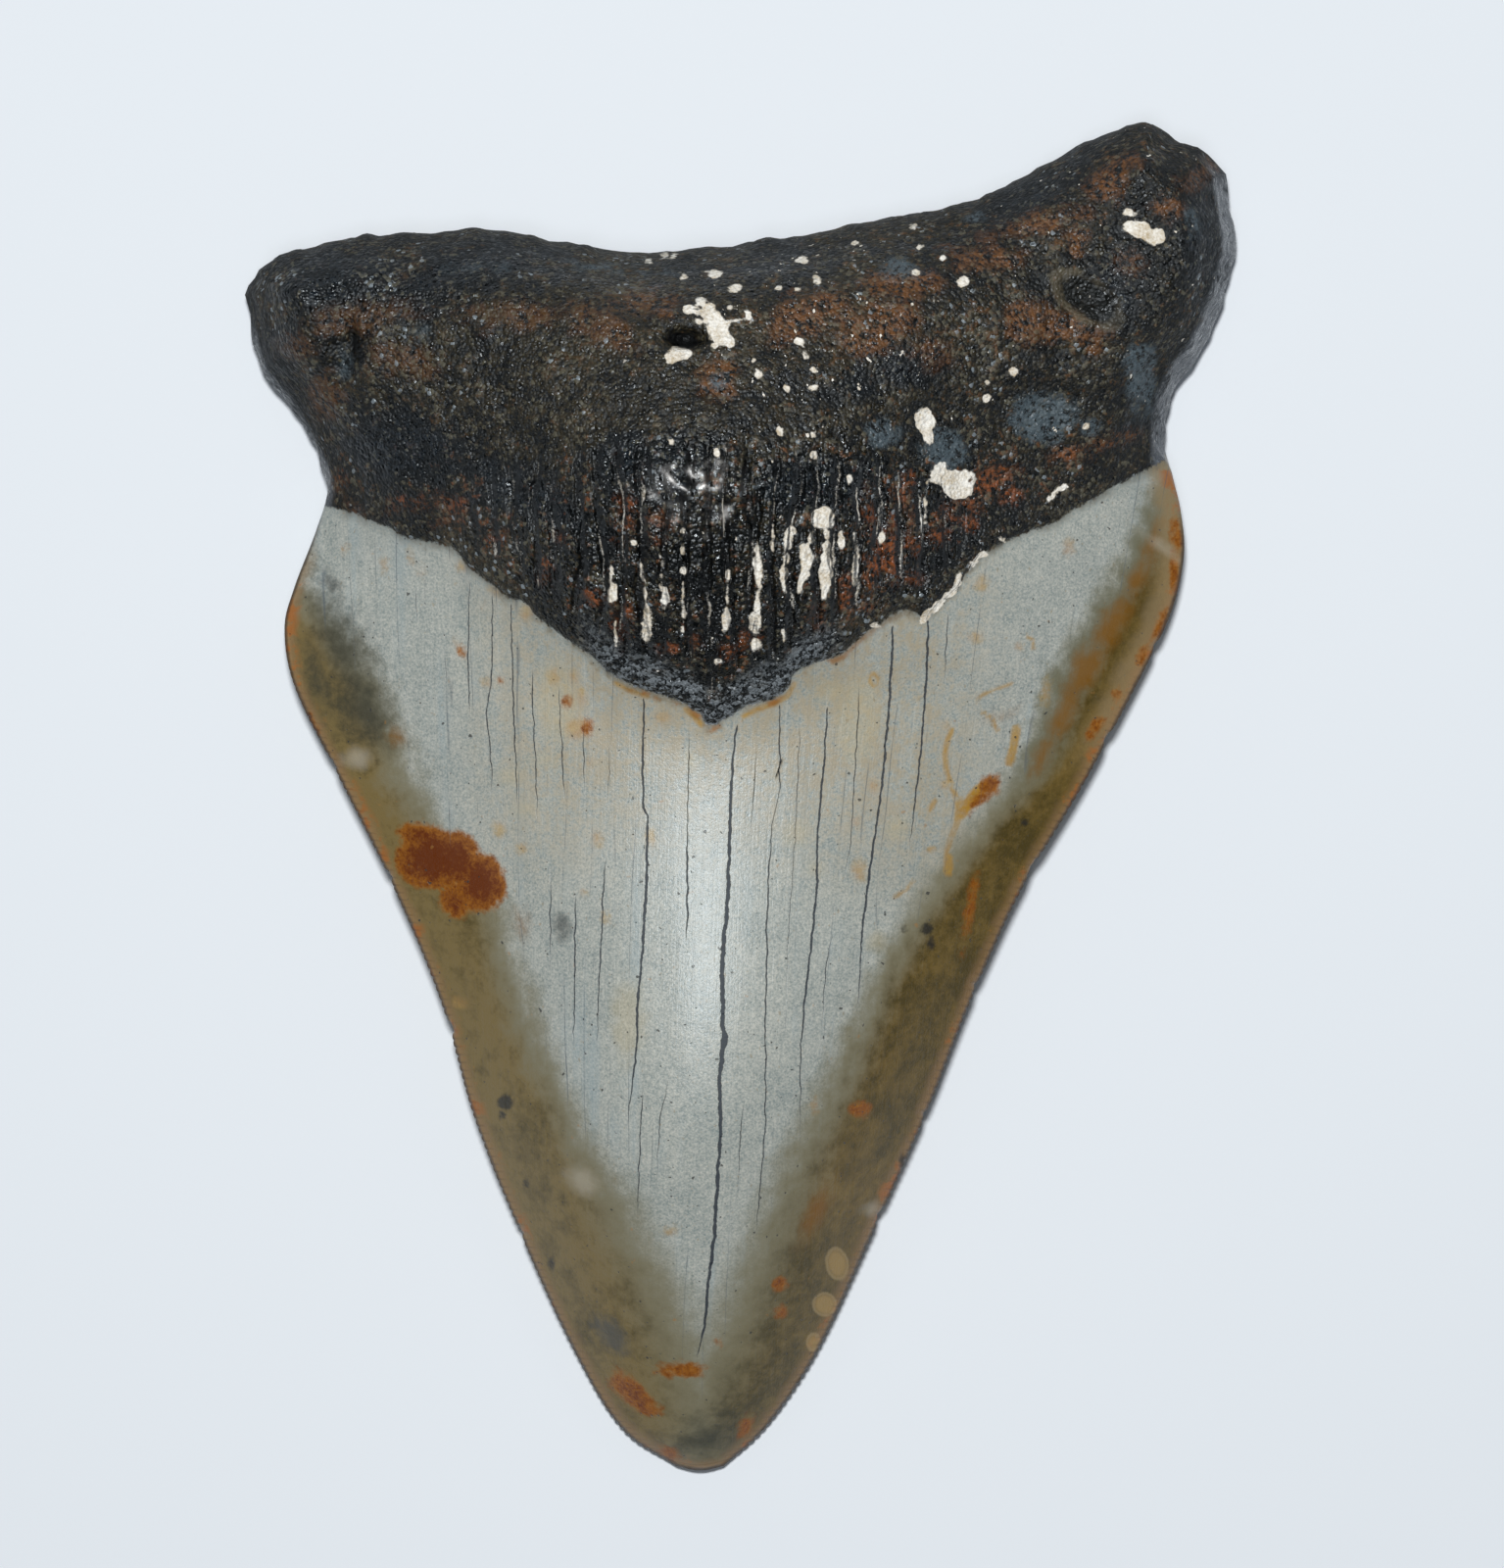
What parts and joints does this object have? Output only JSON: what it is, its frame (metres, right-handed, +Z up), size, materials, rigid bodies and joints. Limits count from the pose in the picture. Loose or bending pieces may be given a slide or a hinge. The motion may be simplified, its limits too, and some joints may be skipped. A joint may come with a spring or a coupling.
{
  "type": "megalodon tooth",
  "caption": "Fossil megalodon tooth: dark lobed root over a broad triangular grey crown with serrated cutting edges, lying on its labial face.",
  "frame": {"origin": "bottom centre of the tooth's bounding box, on the surface that it lies on", "axes": "+Z up out of the lingual face, +Y along the tooth from the tip towards the root, +X to the right seen from above"},
  "size_m": [0.0706, 0.0964, 0.0219],
  "materials": {
    "tooth": "semi-gloss enamel crown, grey with olive-brown margins; dark brown-black root with rust and cream specks"
  },
  "bodies": {
    "root": {"tooth": "tooth"}
  },
  "joints": []
}
